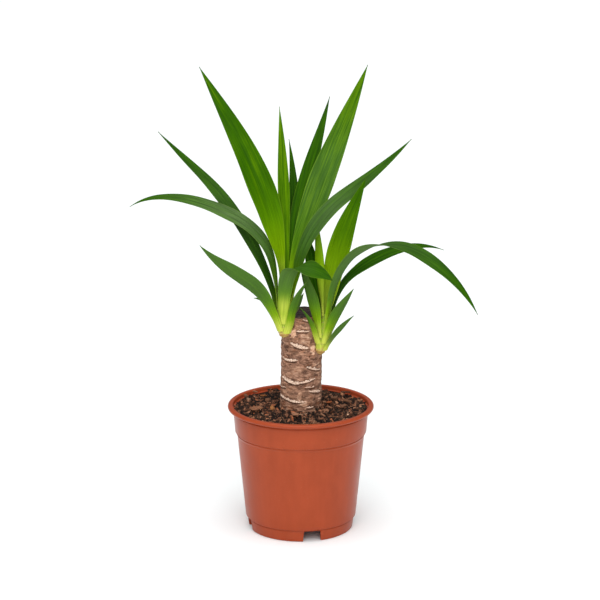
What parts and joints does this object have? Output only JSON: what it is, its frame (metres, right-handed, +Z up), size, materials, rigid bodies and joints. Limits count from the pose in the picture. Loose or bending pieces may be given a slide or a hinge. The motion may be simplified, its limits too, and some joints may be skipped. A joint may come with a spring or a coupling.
{
  "type": "potted yucca plant",
  "caption": "Potted yucca: an upright sawn-off woody cane with leafy side shoots of long arching leaves, standing in a round tapered plastic nursery pot of soil.",
  "frame": {"origin": "on the pot's axis, at the level of the surface that the pot stands on", "axes": "+Z up along the pot's axis; the shoots grow on the -Y side of the cane, which is the front; +X is to the right seen from the front, so the arching right-hand leaves reach towards +X"},
  "size_m": [0.3361, 0.145, 0.4623],
  "materials": {
    "pot_plastic": "semi-gloss terracotta-coloured plastic",
    "soil": "loose dark peat",
    "bark": "rough grey-brown bark",
    "seal_wax": "satin near-black wound wax",
    "shoot": "fleshy yellow-green stem",
    "leaf": "slightly glossy green leaf",
    "bark_chip": "dry bark"
  },
  "bodies": {
    "root": {"pot": "pot_plastic", "soil": "soil", "cane": "bark", "wound_seal": "seal_wax", "left_shoot": "shoot", "right_shoot": "shoot", "left_leaf_01": "leaf", "left_leaf_02": "leaf", "left_leaf_03": "leaf", "left_leaf_04": "leaf", "left_leaf_05": "leaf", "left_leaf_06": "leaf", "left_leaf_07": "leaf", "left_leaf_08": "leaf", "left_leaf_09": "leaf", "left_leaf_10": "leaf", "left_leaf_11": "leaf", "left_leaf_12": "leaf", "left_leaf_13": "leaf", "right_leaf_01": "leaf", "right_leaf_02": "leaf", "right_leaf_03": "leaf", "right_leaf_04": "leaf", "right_leaf_05": "leaf", "right_leaf_06": "leaf", "right_leaf_07": "leaf", "right_leaf_08": "leaf", "right_leaf_09": "leaf", "bark_chip_01": "bark_chip", "bark_chip_02": "bark_chip", "bark_chip_03": "bark_chip", "bark_chip_04": "bark_chip", "bark_chip_05": "bark_chip", "bark_chip_06": "bark_chip", "bark_chip_07": "bark_chip", "bark_chip_08": "bark_chip", "bark_chip_09": "bark_chip", "bark_chip_10": "bark_chip", "bark_chip_11": "bark_chip", "bark_chip_12": "bark_chip"}
  },
  "joints": []
}
